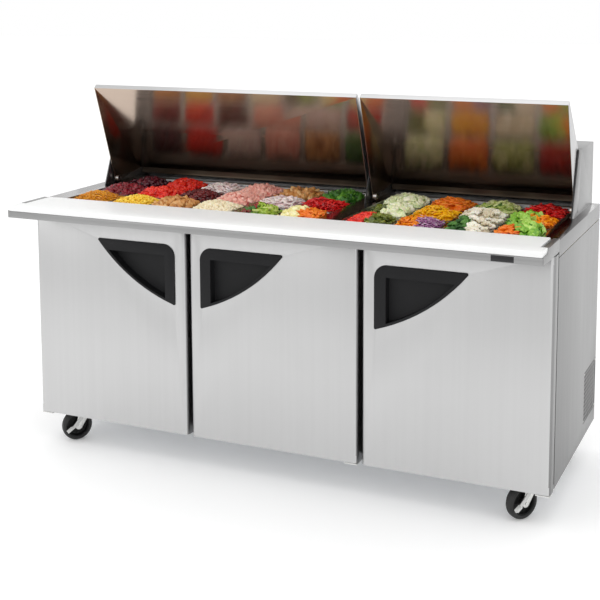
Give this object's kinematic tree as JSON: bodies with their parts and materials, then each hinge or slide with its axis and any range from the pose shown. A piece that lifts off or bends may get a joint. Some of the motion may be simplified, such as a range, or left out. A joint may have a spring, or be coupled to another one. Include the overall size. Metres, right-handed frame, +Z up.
{
  "type": "sandwich prep table",
  "caption": "Refrigerated sandwich prep table on casters, with hinged doors, hinged hood lids over lift-out food pans and a full-width cutting board.",
  "frame": {"origin": "middle of the overall footprint, on the floor", "axes": "+Z up, +X to the right as seen from the front, the doors face -Y"},
  "size_m": [1.845, 0.864, 1.2722],
  "materials": {
    "brushed_steel": "satin vertical brush",
    "fascia_steel": "satin horizontal brush",
    "polished_steel": "semi-polished",
    "galvanised_steel": "galvanised",
    "foam": "closed-cell foam, matt",
    "liner_aluminium": "satin",
    "liner_plastic": "smooth matt",
    "black_plastic": "fine moulded texture",
    "black_metal": "semi-gloss",
    "black_rubber": "matt",
    "zinc_steel": "bright zinc",
    "coated_wire": "epoxy coated",
    "black_paint": "semi-gloss",
    "white_board": "lightly textured",
    "caster_tyre": "matt",
    "pedal_plastic": "satin"
  },
  "bodies": {
    "cabinet": {"side_panels": "brushed_steel", "base_pan": "galvanised_steel", "back_panel": "brushed_steel", "foam_insulation": "foam", "inner_liner": "liner_aluminium", "door_frame": "black_plastic", "counter_top": "brushed_steel", "pan_rails": "polished_steel", "board_shelf": "fascia_steel", "board_brackets": "polished_steel", "display": "black_plastic", "hood_box": "brushed_steel", "hood_gaskets": "black_rubber", "lid_pins": "zinc_steel", "hinge_brackets": "black_metal", "shelf_pilasters": "zinc_steel", "wire_shelves": "coated_wire", "evaporator": "galvanised_steel", "compressor": "black_paint", "condenser": "galvanised_steel", "condenser_fan": "galvanised_steel", "vent_grilles": "brushed_steel", "cord_gland": "black_plastic", "caster_plates": "zinc_steel", "screws": "zinc_steel"},
    "door_1": {"door_skin_1": "brushed_steel", "door_liner_1": "liner_plastic", "door_gasket_1": "black_rubber", "door_handle_1": "black_plastic"},
    "door_2": {"door_skin_2": "brushed_steel", "door_liner_2": "liner_plastic", "door_gasket_2": "black_rubber", "door_handle_2": "black_plastic"},
    "door_3": {"door_skin_3": "brushed_steel", "door_liner_3": "liner_plastic", "door_gasket_3": "black_rubber", "door_handle_3": "black_plastic"},
    "pans_1": {"pans_1": "polished_steel"},
    "pans_2": {"pans_2": "polished_steel"},
    "pans_3": {"pans_3": "polished_steel"},
    "pans_4": {"pans_4": "polished_steel"},
    "pans_5": {"pans_5": "polished_steel"},
    "pans_6": {"pans_6": "polished_steel"},
    "pans_7": {"pans_7": "polished_steel"},
    "pans_8": {"pans_8": "polished_steel"},
    "pans_9": {"pans_9": "polished_steel"},
    "pans_10": {"pans_10": "polished_steel"},
    "cutting_board": {"cutting_board": "white_board"},
    "lid_left": {"lid_left": "polished_steel"},
    "lid_right": {"lid_right": "polished_steel"},
    "fork_front_left": {"fork_front_left": "zinc_steel"},
    "wheel_front_left": {"wheel_front_left": "caster_tyre"},
    "fork_front_right": {"fork_front_right": "zinc_steel"},
    "wheel_front_right": {"wheel_front_right": "caster_tyre"},
    "fork_rear_left": {"fork_rear_left": "zinc_steel"},
    "wheel_rear_left": {"wheel_rear_left": "caster_tyre"},
    "fork_rear_right": {"fork_rear_right": "zinc_steel"},
    "wheel_rear_right": {"wheel_rear_right": "caster_tyre"},
    "brake_pedal_left": {"brake_pedal_left": "pedal_plastic"},
    "brake_pedal_right": {"brake_pedal_right": "pedal_plastic"}
  },
  "joints": [
    {"name": "door_1_hinge", "type": "hinge", "parent": "cabinet", "child": "door_1", "pos_m": [-0.9025, -0.259, 0.48], "axis": [0, 0, 1], "range_deg": [-110, 0]},
    {"name": "door_2_hinge", "type": "hinge", "parent": "cabinet", "child": "door_2", "pos_m": [0.28317, -0.259, 0.48], "axis": [0, 0, 1], "range_deg": [0, 110]},
    {"name": "door_3_hinge", "type": "hinge", "parent": "cabinet", "child": "door_3", "pos_m": [0.9025, -0.259, 0.48], "axis": [0, 0, 1], "range_deg": [0, 110]},
    {"name": "lid_left_hinge", "type": "hinge", "parent": "cabinet", "child": "lid_left", "pos_m": [0, 0.184, 0.898], "axis": [-1, 0, 0], "range_deg": [-70.5, 0]},
    {"name": "lid_right_hinge", "type": "hinge", "parent": "cabinet", "child": "lid_right", "pos_m": [0, 0.184, 0.898], "axis": [-1, 0, 0], "range_deg": [-70.5, 0]},
    {"name": "pans_1_lift", "type": "slide", "parent": "cabinet", "child": "pans_1", "axis": [0, 0, 1], "range_m": [0, 0.08]},
    {"name": "pans_2_lift", "type": "slide", "parent": "cabinet", "child": "pans_2", "axis": [0, 0, 1], "range_m": [0, 0.08]},
    {"name": "pans_3_lift", "type": "slide", "parent": "cabinet", "child": "pans_3", "axis": [0, 0, 1], "range_m": [0, 0.08]},
    {"name": "pans_4_lift", "type": "slide", "parent": "cabinet", "child": "pans_4", "axis": [0, 0, 1], "range_m": [0, 0.08]},
    {"name": "pans_5_lift", "type": "slide", "parent": "cabinet", "child": "pans_5", "axis": [0, 0, 1], "range_m": [0, 0.08]},
    {"name": "pans_6_lift", "type": "slide", "parent": "cabinet", "child": "pans_6", "axis": [0, 0, 1], "range_m": [0, 0.08]},
    {"name": "pans_7_lift", "type": "slide", "parent": "cabinet", "child": "pans_7", "axis": [0, 0, 1], "range_m": [0, 0.08]},
    {"name": "pans_8_lift", "type": "slide", "parent": "cabinet", "child": "pans_8", "axis": [0, 0, 1], "range_m": [0, 0.08]},
    {"name": "pans_9_lift", "type": "slide", "parent": "cabinet", "child": "pans_9", "axis": [0, 0, 1], "range_m": [0, 0.08]},
    {"name": "pans_10_lift", "type": "slide", "parent": "cabinet", "child": "pans_10", "axis": [0, 0, 1], "range_m": [0, 0.08]},
    {"name": "cutting_board_lift", "type": "slide", "parent": "cabinet", "child": "cutting_board", "axis": [0, 0, 1], "range_m": [0, 0.1]},
    {"name": "caster_swivel_front_left", "type": "hinge", "parent": "cabinet", "child": "fork_front_left", "pos_m": [-0.8, -0.187, 0.11], "axis": [0, 0, 1], "continuous": true},
    {"name": "wheel_spin_front_left", "type": "hinge", "parent": "fork_front_left", "child": "wheel_front_left", "pos_m": [-0.81721, -0.21157, 0.055], "axis": [0.8192, -0.5736, 0], "continuous": true},
    {"name": "caster_swivel_front_right", "type": "hinge", "parent": "cabinet", "child": "fork_front_right", "pos_m": [0.838, -0.187, 0.11], "axis": [0, 0, 1], "continuous": true},
    {"name": "wheel_spin_front_right", "type": "hinge", "parent": "fork_front_right", "child": "wheel_front_right", "pos_m": [0.82079, -0.21157, 0.055], "axis": [0.8192, -0.5736, 0], "continuous": true},
    {"name": "caster_swivel_rear_left", "type": "hinge", "parent": "cabinet", "child": "fork_rear_left", "pos_m": [-0.8, 0.333, 0.11], "axis": [0, 0, 1], "continuous": true},
    {"name": "wheel_spin_rear_left", "type": "hinge", "parent": "fork_rear_left", "child": "wheel_rear_left", "pos_m": [-0.81721, 0.30843, 0.055], "axis": [0.8192, -0.5736, 0], "continuous": true},
    {"name": "caster_swivel_rear_right", "type": "hinge", "parent": "cabinet", "child": "fork_rear_right", "pos_m": [0.838, 0.333, 0.11], "axis": [0, 0, 1], "continuous": true},
    {"name": "wheel_spin_rear_right", "type": "hinge", "parent": "fork_rear_right", "child": "wheel_rear_right", "pos_m": [0.82079, 0.30843, 0.055], "axis": [0.8192, -0.5736, 0], "continuous": true},
    {"name": "brake_left", "type": "hinge", "parent": "fork_front_left", "child": "brake_pedal_left", "pos_m": [-0.81262, -0.20502, 0.083], "axis": [0.8192, -0.5736, 0], "range_deg": [0, 6]},
    {"name": "brake_right", "type": "hinge", "parent": "fork_front_right", "child": "brake_pedal_right", "pos_m": [0.82538, -0.20502, 0.083], "axis": [0.8192, -0.5736, 0], "range_deg": [0, 6]}
  ]
}
